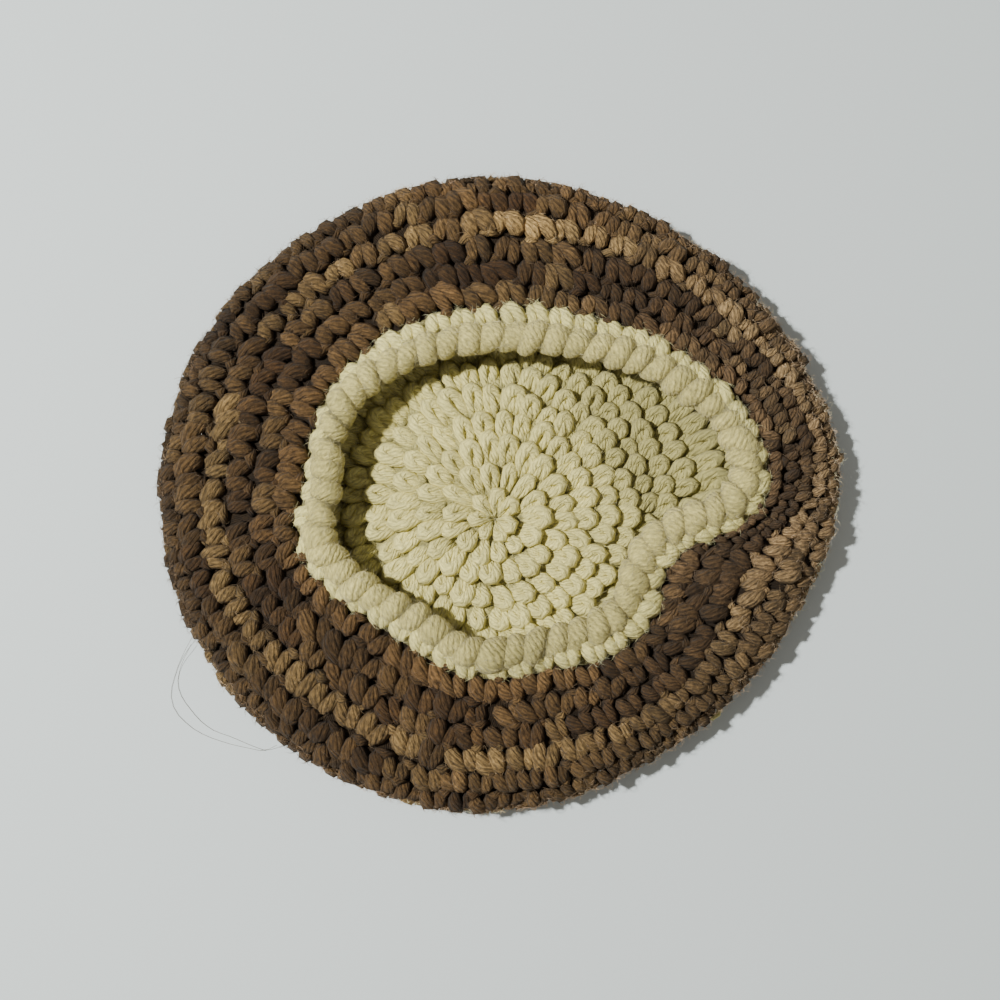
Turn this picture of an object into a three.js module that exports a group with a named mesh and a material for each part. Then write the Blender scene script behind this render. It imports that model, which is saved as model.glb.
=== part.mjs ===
import * as THREE from 'three';

// A crocheted tam o shanter lying crown down. The flat crown is below, its edge turns up and in, the
// underside runs in over the crown, and a rolled band goes round the opening on top. All sizes are
// millimetres, +Z is up, +Y is the back, and the origin is on the table in the middle of the hat.

// Driving sizes of the whole hat
const hatRadius = 130;
const openingRadius = 66;
const fabricThickness = 6;
const seamGap = 0.3;

// Crown: a disc of crocheted rounds whose middle is pushed in
const crownRounds = 12;
const crownLift = 4;
const liftFlatRadius = 46;
const ringMiddleX = -1.5;
const ringMiddleY = -14;

// The brown rounds: they leave the crown on the table, turn up round the widest place of the hat,
// turn in over the top and run in to the collar round. The first rounds make the edge, the next ones
// the turn, and the rest the underside.
const edgeLowHeight = 8;
const edgeTopHeight = 22;
const edgeLowInset = 9;
const edgeTopInset = 16;
const brownRounds = 8;
const edgeRoundsEnd = 2;
const turnedRoundsEnd = 4;

// Rolled band round the opening and the one round that it is worked on
const bandHeight = 25;
const bandThickness = 12.4;
const bandStitches = 54;
const bandBulge = 0.7;
const collarWidth = 8.4;
const collarDrop = 2.2;
const openingMiddleY = -4;

// Relief of one crocheted round
const ribDepth = 1.1;

// Colours of the two yarns
const creamYarn = '#cdc598';
const brownYarn = '#6b5140';

// How finely the solids are faceted: one step around for each stitch of the band, and two on the
// band itself and the round beside it
const anglesAround = bandStitches;
const bandAnglesAround = 2 * bandStitches;
const facetsAcrossBand = 8;
const facetsAcrossTurnedRound = 4;
const facetsAcrossFlatRound = 2;
const facetsAcrossFoot = 9;

// The outer edge seen from above: its reach as a share of hatRadius, and how far out the pushed-in
// middle of the crown runs down to the table, also as a share of hatRadius
const outlineRows = [
  { angle: 0, reach: 1.044, liftEnd: 0.80 },
  { angle: 30, reach: 1.005, liftEnd: 0.72 },
  { angle: 60, reach: 0.971, liftEnd: 0.64 },
  { angle: 90, reach: 0.981, liftEnd: 0.60 },
  { angle: 120, reach: 0.986, liftEnd: 0.54 },
  { angle: 150, reach: 1.029, liftEnd: 0.50 },
  { angle: 180, reach: 1.044, liftEnd: 0.50 },
  { angle: 210, reach: 1.031, liftEnd: 0.50 },
  { angle: 240, reach: 1.008, liftEnd: 0.52 },
  { angle: 270, reach: 0.979, liftEnd: 0.56 },
  { angle: 300, reach: 0.948, liftEnd: 0.62 },
  { angle: 330, reach: 0.975, liftEnd: 0.72 },
];

// The middle of the rolled band: its reach as a share of openingRadius, and how far it is pressed
// down, from 0 where it stands free to 1 where it lies on the crown. The last column is the part of
// collarWidth that the band leaves uncovered.
const openingRows = [
  { angle: 0, reach: 1.42, press: 0.10, collar: 0.40 },
  { angle: 15, reach: 1.44, press: 0.05, collar: 0.40 },
  { angle: 30, reach: 1.28, press: 0, collar: 0.60 },
  { angle: 60, reach: 1.02, press: 0, collar: 0.95 },
  { angle: 90, reach: 0.93, press: 0, collar: 1.00 },
  { angle: 120, reach: 0.97, press: 0, collar: 0.90 },
  { angle: 150, reach: 1.06, press: 0, collar: 0.55 },
  { angle: 180, reach: 1.025, press: 0, collar: 0.50 },
  { angle: 195, reach: 1.09, press: 0, collar: 0.45 },
  { angle: 225, reach: 0.93, press: 0.05, collar: 0.60 },
  { angle: 240, reach: 0.89, press: 0.15, collar: 0.65 },
  { angle: 262, reach: 0.96, press: 0.35, collar: 0.55 },
  { angle: 285, reach: 0.93, press: 0.85, collar: 0.70 },
  { angle: 315, reach: 1.00, press: 1, collar: 0.85 },
  { angle: 335, reach: 0.935, press: 0.90, collar: 0.85 },
  { angle: 348, reach: 1.04, press: 0.45, collar: 0.60 },
];

const fullTurn = 2 * Math.PI;
const quarterTurn = Math.PI / 2;

// One column of a table read at any angle in radians, as a smooth curve through its rows that
// closes on itself. Each row's slope is the one between its two neighbours.
function readAround(rows, column, angle) {
  const count = rows.length;
  const degrees = THREE.MathUtils.euclideanModulo(THREE.MathUtils.radToDeg(angle), 360);
  let next = rows.findIndex((row) => row.angle > degrees);
  if (next < 0) next = count;
  const row = (index) => {
    const lap = Math.floor(index / count);
    const found = rows[index - lap * count];
    return { angle: found.angle + 360 * lap, value: found[column] };
  };
  const before = row(next - 2);
  const start = row(next - 1);
  const end = row(next);
  const after = row(next + 1);
  const span = end.angle - start.angle;
  const share = (degrees - start.angle) / span;
  const startSlope = span * (end.value - before.value) / (end.angle - before.angle);
  const endSlope = span * (after.value - start.value) / (after.angle - start.angle);
  const square = share * share;
  const cube = square * share;
  return (2 * cube - 3 * square + 1) * start.value
    + (cube - 2 * square + share) * startSlope
    + (3 * square - 2 * cube) * end.value
    + (cube - square) * endSlope;
}

// Plan view places: the drawn-in ring of the crown, the outer edge and the middle of the band
const ringMiddle = new THREE.Vector2(ringMiddleX, ringMiddleY);

function outerEdge(angle) {
  const reach = hatRadius * readAround(outlineRows, 'reach', angle);
  return new THREE.Vector2(reach * Math.cos(angle), reach * Math.sin(angle));
}

function bandMiddle(angle) {
  const reach = openingRadius * readAround(openingRows, 'reach', angle);
  return new THREE.Vector2(reach * Math.cos(angle), openingMiddleY + reach * Math.sin(angle));
}

// The direction square to the band, away from the opening
function bandOutward(angle) {
  const step = fullTurn / bandAnglesAround;
  const along = bandMiddle(angle + step).sub(bandMiddle(angle - step)).normalize();
  return new THREE.Vector2(along.y, -along.x);
}

// The two borders of the collar round: beside the band, and where the underside reaches it
function collarInner(angle) {
  const clear = bandThickness / 2 + bandBulge + seamGap;
  return bandMiddle(angle).addScaledVector(bandOutward(angle), clear);
}

function collarOuter(angle) {
  const shown = collarWidth * readAround(openingRows, 'collar', angle);
  return collarInner(angle).addScaledVector(bandOutward(angle), shown);
}

// The way in from the outer edge to the collar round at one angle, and its whole length
function wayIn(angle) {
  const edge = outerEdge(angle);
  const inward = collarOuter(angle).sub(edge);
  const length = inward.length();
  return { edge, inward: inward.normalize(), length };
}

// Height of the bottom of the crown at a distance from its ring: level with the lift in the middle,
// then running down to the table
function crownBottom(angle, distance) {
  const liftEnd = hatRadius * readAround(outlineRows, 'liftEnd', angle);
  return crownLift * (1 - THREE.MathUtils.smoothstep(distance, liftFlatRadius, liftEnd));
}

// Height of the middle of the band: free at bandHeight, or resting on the crown where pressed
function bandMiddleHeight(angle) {
  const press = THREE.MathUtils.clamp(readAround(openingRows, 'press', angle), 0, 1);
  const place = bandMiddle(angle).sub(ringMiddle);
  const innerSide = Math.max(place.length() - bandThickness / 2, 0);
  const crownTop = crownBottom(angle, innerSide) + fabricThickness + ribDepth;
  const resting = crownTop + bandThickness / 2 + bandBulge + seamGap;
  return THREE.MathUtils.lerp(bandHeight, Math.min(resting, bandHeight), press);
}

// A closed solid laid out as a lathe of its section. The lathe gives the closed net of facets, and
// every corner of the net is then laid in its true place on the hat.
function laidSolid(name, material, corners, segments, layCorner) {
  const profile = corners.map((corner) => new THREE.Vector2(corner.onAxis ? 0 : 1, 0));
  const geometry = new THREE.LatheGeometry(profile, segments);
  const positions = geometry.attributes.position;
  for (let segment = 0; segment <= segments; segment += 1) {
    const angle = fullTurn * (segment % segments) / segments;
    corners.forEach((corner, index) => {
      const place = layCorner(corner, angle, segment % segments);
      positions.setXYZ(segment * corners.length + index, place.x, place.y, place.z);
    });
  }
  geometry.computeVertexNormals();
  const mesh = new THREE.Mesh(geometry, material);
  mesh.name = name;
  return mesh;
}

// Height of the relief at a place counted in rounds: nothing between rounds, full on their backs
function ribAt(rounds) {
  return ribDepth * Math.abs(Math.sin(Math.PI * rounds));
}

// Crown: from the drawn-in ring out to where the turned edge begins. Its upper face, the inside of
// the hat, carries one rib for each round. Its lower face is plain where it lies on the table.
function makeCrown(material) {
  const halfRounds = 2 * crownRounds;
  const corners = [{ onAxis: true, share: 0, upper: false }];
  for (let step = 1; step <= facetsAcrossFoot; step += 1) {
    corners.push({ share: step / facetsAcrossFoot, upper: false });
  }
  for (let step = halfRounds; step > 0; step -= 1) {
    corners.push({ share: step / halfRounds, upper: true });
  }
  corners.push({ onAxis: true, share: 0, upper: true });
  return laidSolid('crown', material, corners, anglesAround, (corner, angle) => {
    const { edge, inward } = wayIn(angle);
    const rim = edge.addScaledVector(inward, edgeLowInset + seamGap);
    const plan = ringMiddle.clone().lerp(rim, corner.share);
    const bottom = crownBottom(angle, plan.distanceTo(ringMiddle));
    const rib = corner.share < 1 ? ribAt(corner.share * crownRounds) : 0;
    const z = corner.upper ? bottom + fabricThickness + rib : bottom;
    return new THREE.Vector3(plan.x, plan.y, z);
  });
}

// Height of the upper face of the collar round beside the underside
function collarFootHeight(angle) {
  return bandMiddleHeight(angle) + fabricThickness / 2 - collarDrop;
}

// Length of a quarter of an ellipse with these two half widths, near enough for laying out rounds
function quarterLength(halfWidth, halfHeight) {
  return quarterTurn * Math.sqrt((halfWidth * halfWidth + halfHeight * halfHeight) / 2);
}

// The outer face of the brown rounds at one angle, as a line in the plane of inset and height. It is
// a quarter of an ellipse from the table to the widest place, another to the top, and a straight run
// to the collar round.
function sectionAt(angle) {
  const { edge, inward, length } = wayIn(angle);
  const topRise = edgeTopHeight - edgeLowHeight;
  const lowLength = quarterLength(edgeLowInset, edgeLowHeight);
  const topLength = quarterLength(edgeTopInset, topRise);
  const run = length - edgeTopInset;
  const rise = collarFootHeight(angle) - edgeTopHeight;
  const runLength = Math.hypot(run, rise);
  const pointAt = (travel) => {
    if (travel < lowLength) {
      const lean = quarterTurn * travel / lowLength;
      const inset = edgeLowInset * (1 - Math.sin(lean));
      return new THREE.Vector2(inset, edgeLowHeight * (1 - Math.cos(lean)));
    }
    if (travel < lowLength + topLength) {
      const lean = quarterTurn * (travel - lowLength) / topLength;
      const inset = edgeTopInset * (1 - Math.cos(lean));
      return new THREE.Vector2(inset, edgeLowHeight + topRise * Math.sin(lean));
    }
    const share = (travel - lowLength - topLength) / runLength;
    return new THREE.Vector2(edgeTopInset + run * share, edgeTopHeight + rise * share);
  };
  return { edge, inward, pointAt, total: lowLength + topLength + runLength };
}

// Some of the brown rounds as one solid, with one rib for each round outside. The thickness goes
// square to the section, and on the underside it turns upright towards the collar round, whose side
// is upright. What lies on the table is flat.
function makeBrownRounds(name, material, firstRound, lastRound, facetsAcrossRound) {
  const rounds = lastRound - firstRound;
  const facets = rounds * facetsAcrossRound;
  const last = lastRound === brownRounds;
  const corners = [];
  for (let step = 0; step <= facets; step += 1) {
    corners.push({ share: step / facets, depth: 0, rib: ribAt(step / facetsAcrossRound) });
  }
  for (let step = 2 * rounds; step >= 0; step -= 1) {
    corners.push({ share: step / (2 * rounds), depth: fabricThickness, rib: 0 });
  }
  corners.push(corners[0]);
  return laidSolid(name, material, corners, anglesAround, (corner, angle) => {
    const { edge, inward, pointAt, total } = sectionAt(angle);
    const seamTravel = total * THREE.MathUtils.lerp(firstRound, lastRound, corner.share) / brownRounds;
    const startGap = firstRound > 0 ? seamGap : 0;
    const point = pointAt(seamTravel + THREE.MathUtils.lerp(startGap, -seamGap, corner.share));
    const along = pointAt(seamTravel + seamGap).sub(pointAt(seamTravel - seamGap)).normalize();
    const inside = new THREE.Vector2(along.y, -along.x);
    if (last) {
      inside.lerp(new THREE.Vector2(0, -1), corner.share);
    }
    point.addScaledVector(inside, corner.depth - corner.rib);
    const plan = edge.addScaledVector(inward, point.x);
    return new THREE.Vector3(plan.x, plan.y, Math.max(point.y, 0));
  });
}

// Collar round: one round that rises a little from the underside to the band. Its outer border has
// only the underside's corners, with the ones between them midway, so that the two borders match.
function makeCollar(material) {
  const corners = [
    { share: 0, upper: true, rib: 0 },
    { share: 0.5, upper: true, rib: 1 },
    { share: 1, upper: true, rib: 0 },
    { share: 1, upper: false, rib: 0 },
    { share: 0, upper: false, rib: 0 },
  ];
  corners.push(corners[0]);
  const stepAround = fullTurn / bandAnglesAround;
  return laidSolid('collar_round', material, corners, bandAnglesAround, (corner, angle, segment) => {
    const inner = collarInner(angle);
    let outer = collarOuter(angle);
    let foot = collarFootHeight(angle);
    if (segment % 2 === 1) {
      outer = collarOuter(angle - stepAround).lerp(collarOuter(angle + stepAround), 0.5);
      foot = (collarFootHeight(angle - stepAround) + collarFootHeight(angle + stepAround)) / 2;
    }
    const plan = outer.lerp(inner, corner.share);
    const top = collarFootHeight(angle) + collarDrop;
    const height = THREE.MathUtils.lerp(foot, top, corner.share) + ribDepth * corner.rib;
    return new THREE.Vector3(plan.x, plan.y, corner.upper ? height : height - fabricThickness);
  });
}

// Rolled band: a thick rope along the opening whose stitches bulge in turn
function makeBand(material) {
  const corners = [];
  for (let facet = 0; facet <= facetsAcrossBand; facet += 1) {
    corners.push({ lean: fullTurn * (facet % facetsAcrossBand) / facetsAcrossBand });
  }
  return laidSolid('rolled_band', material, corners, bandAnglesAround, (corner, angle, segment) => {
    const radius = bandThickness / 2 + (segment % 2 === 0 ? bandBulge : 0);
    const plan = bandMiddle(angle).addScaledVector(bandOutward(angle), radius * Math.cos(corner.lean));
    const z = bandMiddleHeight(angle) + radius * Math.sin(corner.lean);
    return new THREE.Vector3(plan.x, plan.y, z);
  });
}

const cream = new THREE.MeshStandardMaterial({ color: creamYarn, roughness: 0.95, metalness: 0 });
const brown = new THREE.MeshStandardMaterial({ color: brownYarn, roughness: 0.95, metalness: 0 });

const hat = new THREE.Group();
hat.add(makeCrown(cream));
hat.add(makeBrownRounds('edge_rounds', brown, 0, edgeRoundsEnd, facetsAcrossTurnedRound));
hat.add(makeBrownRounds('turned_rounds', brown, edgeRoundsEnd, turnedRoundsEnd, facetsAcrossTurnedRound));
hat.add(makeBrownRounds('underside', brown, turnedRoundsEnd, brownRounds, facetsAcrossFlatRound));
hat.add(makeCollar(cream));
hat.add(makeBand(cream));

export default hat;
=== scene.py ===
# %% [markdown]
# # A crocheted tam o shanter, lying crown down
#
# The hat is worked in rounds from a drawn-in ring in the middle of the crown. The crown is a flat
# cream disc. At its border the yarn changes to a mottled brown, and the rounds turn up, over the
# edge and back in, with fewer and fewer stitches. One cream round and a thick rolled band finish the
# opening. It lies on its crown, so that we look through the opening on the inside of the crown.
#
# We model one stitch of each kind, then lay it along every round, as the hook does. First
# the imported solids are loaded. They fix the size and the place of everything that follows.

import math

import bpy
import numpy as np
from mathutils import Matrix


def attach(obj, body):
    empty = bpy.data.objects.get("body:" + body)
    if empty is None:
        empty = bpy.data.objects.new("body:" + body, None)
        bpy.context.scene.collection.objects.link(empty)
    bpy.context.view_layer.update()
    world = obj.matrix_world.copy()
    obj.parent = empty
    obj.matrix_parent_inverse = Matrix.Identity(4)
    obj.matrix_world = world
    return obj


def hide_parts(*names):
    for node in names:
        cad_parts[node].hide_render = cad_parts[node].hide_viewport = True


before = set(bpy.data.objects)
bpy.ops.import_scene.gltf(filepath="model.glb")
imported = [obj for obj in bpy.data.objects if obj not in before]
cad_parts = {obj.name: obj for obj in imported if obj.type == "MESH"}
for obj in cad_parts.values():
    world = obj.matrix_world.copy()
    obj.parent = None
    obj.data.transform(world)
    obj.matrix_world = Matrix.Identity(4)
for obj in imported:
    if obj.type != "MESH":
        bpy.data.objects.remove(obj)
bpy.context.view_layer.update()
MM = 0.001
FULL_TURN = 2 * math.pi
QUARTER_TURN = math.pi / 2
print("solids:", ", ".join(sorted(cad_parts)))

# %% [markdown]
# ## The shape that the fabric follows
#
# A soft hat is never quite round. Two short tables give its outline and its opening at a few angles,
# and a smooth closed curve runs through each column. The names and values are those of the solids,
# in millimetres, so that the stitches lie where the solids are. Only the collar shows less here, since
# the soft band swells over it, and the press starts a little later.

# %% sizes and tables of the hat
HAT_RADIUS = 130.0
OPENING_RADIUS = 66.0
FABRIC_THICKNESS = 6.0
SEAM_GAP = 0.3
CROWN_ROUNDS = 12
CROWN_LIFT = 4.0
LIFT_FLAT_RADIUS = 46.0
RING_MIDDLE = np.array([-1.5, -14.0])
EDGE_LOW_HEIGHT = 8.0
EDGE_TOP_HEIGHT = 22.0
EDGE_LOW_INSET = 9.0
EDGE_TOP_INSET = 16.0
BROWN_ROUNDS = 8
BAND_HEIGHT = 25.0
BAND_THICKNESS = 12.4
BAND_STITCHES = 54
BAND_BULGE = 0.7
COLLAR_WIDTH = 8.4
COLLAR_DROP = 2.2
OPENING_MIDDLE_Y = -4.0
RIB_DEPTH = 1.1

# angle in degrees, reach as a share of HAT_RADIUS, end of the lift as a share of HAT_RADIUS
OUTLINE_ROWS = [
    (0, 1.044, 0.80), (30, 1.005, 0.72), (60, 0.971, 0.64), (90, 0.981, 0.60),
    (120, 0.986, 0.54), (150, 1.029, 0.50), (180, 1.044, 0.50), (210, 1.031, 0.50),
    (240, 1.008, 0.52), (270, 0.979, 0.56), (300, 0.948, 0.62), (330, 0.975, 0.72),
]
# angle in degrees, reach as a share of OPENING_RADIUS, press, share of COLLAR_WIDTH that shows
OPENING_ROWS = [
    (0, 1.42, 0.10, 0.35), (15, 1.44, 0.05, 0.28), (30, 1.28, 0.00, 0.40), (60, 1.02, 0.00, 0.55),
    (90, 0.93, 0.00, 0.60), (120, 0.97, 0.00, 0.50), (150, 1.06, 0.00, 0.15), (180, 1.025, 0.00, 0.10),
    (195, 1.09, 0.00, 0.10), (225, 0.93, 0.00, 0.12), (240, 0.89, 0.04, 0.35), (262, 0.96, 0.12, 0.20),
    (285, 0.93, 0.80, 0.40), (315, 1.00, 1.00, 0.60), (335, 0.935, 0.90, 0.40), (348, 1.04, 0.45, 0.25),
]


def read_around(rows, column, angle):
    """One column of a table at any angles in radians, as a smooth curve that closes on itself."""
    degrees = np.array([row[0] for row in rows], float)
    values = np.array([row[column] for row in rows], float)
    degrees = np.concatenate([degrees[-2:] - 360, degrees, degrees[:2] + 360])
    values = np.concatenate([values[-2:], values, values[:2]])
    asked = np.degrees(np.asarray(angle, float)) % 360
    start = np.searchsorted(degrees, asked, side="right") - 1
    span = degrees[start + 1] - degrees[start]
    share = (asked - degrees[start]) / span
    start_slope = span * (values[start + 1] - values[start - 1]) / (degrees[start + 1] - degrees[start - 1])
    end_slope = span * (values[start + 2] - values[start]) / (degrees[start + 2] - degrees[start])
    square, cube = share**2, share**3
    return (
        (2 * cube - 3 * square + 1) * values[start]
        + (cube - 2 * square + share) * start_slope
        + (3 * square - 2 * cube) * values[start + 1]
        + (cube - square) * end_slope
    )


print("reach at the right:", round(float(HAT_RADIUS * read_around(OUTLINE_ROWS, 1, 0.0)), 1), "mm")

# %% curves seen from above
def turned(reach, angle):
    """Points at a distance and an angle from the middle."""
    return np.stack([reach * np.cos(angle), reach * np.sin(angle)], -1)


def outer_edge(angle):
    return turned(HAT_RADIUS * read_around(OUTLINE_ROWS, 1, angle), angle)


def band_middle(angle):
    return turned(OPENING_RADIUS * read_around(OPENING_ROWS, 1, angle), angle) + [0, OPENING_MIDDLE_Y]


def band_outward(angle):
    step = FULL_TURN / (2 * BAND_STITCHES)
    along = band_middle(angle + step) - band_middle(angle - step)
    along /= np.linalg.norm(along, axis=-1, keepdims=True)
    return np.stack([along[..., 1], -along[..., 0]], -1)


def collar_inner(angle):
    return band_middle(angle) + band_outward(angle) * (BAND_THICKNESS / 2 + BAND_BULGE + SEAM_GAP)


def collar_outer(angle):
    shown = COLLAR_WIDTH * read_around(OPENING_ROWS, 3, angle)
    return collar_inner(angle) + band_outward(angle) * shown[..., None]


def way_in(angle):
    """The outer edge, the direction from it to the collar round, and how far that is."""
    edge = outer_edge(angle)
    inward = collar_outer(angle) - edge
    length = np.linalg.norm(inward, axis=-1)
    return edge, inward / length[..., None], length


# %% heights
def crown_bottom(angle, distance):
    lift_end = HAT_RADIUS * read_around(OUTLINE_ROWS, 2, angle)
    share = np.clip((distance - LIFT_FLAT_RADIUS) / (lift_end - LIFT_FLAT_RADIUS), 0, 1)
    return CROWN_LIFT * (1 - share * share * (3 - 2 * share))


def band_middle_height(angle):
    press = np.clip(read_around(OPENING_ROWS, 2, angle), 0, 1)
    distance = np.linalg.norm(band_middle(angle) - RING_MIDDLE, axis=-1)
    inner_side = np.maximum(distance - BAND_THICKNESS / 2, 0)
    crown_top = crown_bottom(angle, inner_side) + FABRIC_THICKNESS + RIB_DEPTH
    resting = crown_top + BAND_THICKNESS / 2 + BAND_BULGE + SEAM_GAP
    return BAND_HEIGHT + (np.minimum(resting, BAND_HEIGHT) - BAND_HEIGHT) * press


def collar_foot_height(angle):
    return band_middle_height(angle) + FABRIC_THICKNESS / 2 - COLLAR_DROP


print("height of the band at the back:", round(float(band_middle_height(QUARTER_TURN)), 1), "mm")

# %% [markdown]
# ## From stitches to places
#
# A stitch is easiest to think of in its own units: how far along its round, how many rounds in, and
# how high above the middle of the fabric. Each of the next functions turns those three into a place
# on the hat. One serves the crown, one the brown rounds with their turned edge, one the collar round
# and one the band, where the second unit is the angle round the rope.

# %% places on the crown
ON_TABLE = 0.05
CROWN_FULLNESS = 9.0
FULL_TO_RADIUS = 20.0
FULL_END_RADIUS = 80.0
FULL_END_LESS_AT_LEFT = 24.0
LEFT_TURN = math.radians(205)
SLOPE_CROWDING = 0.115
SLOPE_TURN = math.radians(15)


def on_crown(angle, rounds, height):
    """The pushed-up middle is fuller than in the solid, and its rounds look closer where it falls away."""
    edge, inward, _ = way_in(angle)
    rim = edge + inward * (EDGE_LOW_INSET + SEAM_GAP)
    share = np.maximum(rounds, 0.04) / CROWN_ROUNDS
    facing_right = np.clip(np.cos(angle - SLOPE_TURN), 0, 1) ** 2
    crowding = np.sin(math.pi * np.clip(share, 0, 1) ** 2.2) ** 1.5
    share = share - SLOPE_CROWDING * facing_right * crowding
    plan = RING_MIDDLE + (rim - RING_MIDDLE) * share[..., None]
    distance = np.linalg.norm(plan - RING_MIDDLE, axis=-1)
    full_end = FULL_END_RADIUS - FULL_END_LESS_AT_LEFT * np.clip(np.cos(angle - LEFT_TURN), 0, 1)
    fall = np.clip((distance - FULL_TO_RADIUS) / (full_end - FULL_TO_RADIUS), 0, 1)
    fullness = CROWN_FULLNESS * (1 - fall * fall * (3 - 2 * fall))
    middle = crown_bottom(angle, distance) + FABRIC_THICKNESS / 2 + fullness
    return np.concatenate([plan, np.maximum(middle + height, ON_TABLE)[..., None]], -1)


# %% places on the brown rounds
def quarter_length(half_width, half_height):
    return QUARTER_TURN * math.sqrt((half_width**2 + half_height**2) / 2)


LOW_LENGTH = quarter_length(EDGE_LOW_INSET, EDGE_LOW_HEIGHT)
TOP_RISE = EDGE_TOP_HEIGHT - EDGE_LOW_HEIGHT
TOP_LENGTH = quarter_length(EDGE_TOP_INSET, TOP_RISE)


def section_at(angle, travel_in_rounds):
    """Inset and height on the outer face, and the direction into the fabric there."""
    _, _, length = way_in(angle)
    run = length - EDGE_TOP_INSET
    rise = collar_foot_height(angle) - EDGE_TOP_HEIGHT
    run_length = np.hypot(run, rise)
    travel = travel_in_rounds * (LOW_LENGTH + TOP_LENGTH + run_length) / BROWN_ROUNDS
    low = QUARTER_TURN * travel / LOW_LENGTH
    top = QUARTER_TURN * (travel - LOW_LENGTH) / TOP_LENGTH
    share = (travel - LOW_LENGTH - TOP_LENGTH) / run_length
    on_low = travel < LOW_LENGTH
    on_top = ~on_low & (travel < LOW_LENGTH + TOP_LENGTH)
    inset = np.where(on_low, EDGE_LOW_INSET * (1 - np.sin(low)), EDGE_TOP_INSET * (1 - np.cos(top)))
    height = np.where(on_low, EDGE_LOW_HEIGHT * (1 - np.cos(low)), EDGE_LOW_HEIGHT + TOP_RISE * np.sin(top))
    inset = np.where(on_low | on_top, inset, EDGE_TOP_INSET + run * share)
    height = np.where(on_low | on_top, height, EDGE_TOP_HEIGHT + rise * share)
    return inset, height


def on_brown(angle, rounds, height):
    small = 0.05
    inset, up = section_at(angle, rounds)
    inset_after, up_after = section_at(angle, rounds + small)
    inset_before, up_before = section_at(angle, rounds - small)
    along_inset, along_up = inset_after - inset_before, up_after - up_before
    size = np.hypot(along_inset, along_up)
    depth = FABRIC_THICKNESS / 2 - height
    inset = inset + depth * along_up / size
    up = up - depth * along_inset / size
    edge, inward, _ = way_in(angle)
    plan = edge + inward * inset[..., None]
    return np.concatenate([plan, np.maximum(up, ON_TABLE)[..., None]], -1)


# %% places on the band
def on_band(angle, lean, height):
    """lean is the angle round the rope: 0 on its outer side, a quarter turn on top."""
    plan = band_middle(angle) + band_outward(angle) * (height * np.cos(lean))[..., None]
    up = band_middle_height(angle) + height * np.sin(lean)
    return np.concatenate([plan, up[..., None]], -1)


def even_angles(place, rounds, count, shift=0.0, crowding=0.0):
    """Angles of the stitches of a round, the angle that each one spans, and the round's length.
    They lie evenly along it, or closer where the rounds crowd."""
    fine = np.linspace(0, FULL_TURN, 1441)
    level = np.zeros(fine.shape)
    points = place(fine, level + rounds, level)
    steps = np.diff(points, axis=0)
    lengths = np.linalg.norm(steps, axis=1)
    weights = lengths
    if crowding:
        to_next = place(fine, level + rounds + 0.5, level) - place(fine, level + rounds - 0.5, level)
        apart = np.linalg.norm(np.cross(steps, to_next[1:]), axis=1) / lengths
        weights = lengths * np.clip(apart.mean() / apart, 0.7, 1.7) ** crowding
    travel = np.concatenate([[0], np.cumsum(weights)]) / weights.sum()
    borders = np.interp((np.arange(count + 1) + shift) / count, np.concatenate([travel, travel[1:] + 1]),
                        np.concatenate([fine, fine[1:] + FULL_TURN]))
    return (borders[1:] + borders[:-1]) / 2, np.diff(borders), lengths.sum()


print("band, measured round its middle:", round(float(even_angles(on_band, 0, 54)[2]) / 10, 1), "cm")

# %% [markdown]
# ## A strand of yarn
#
# Everything here is bent yarn. A strand starts as a cylinder. We bisect it into rings, swell or
# thin it ring by ring, and bend it along a curve, whose Z axis stays up. The cylinder's own UV map
# follows the strand, so plies and fibres can be drawn along it later. Each row gives a
# place on the strand, as a share of its length, and its width there, as a share of its radius.

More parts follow.
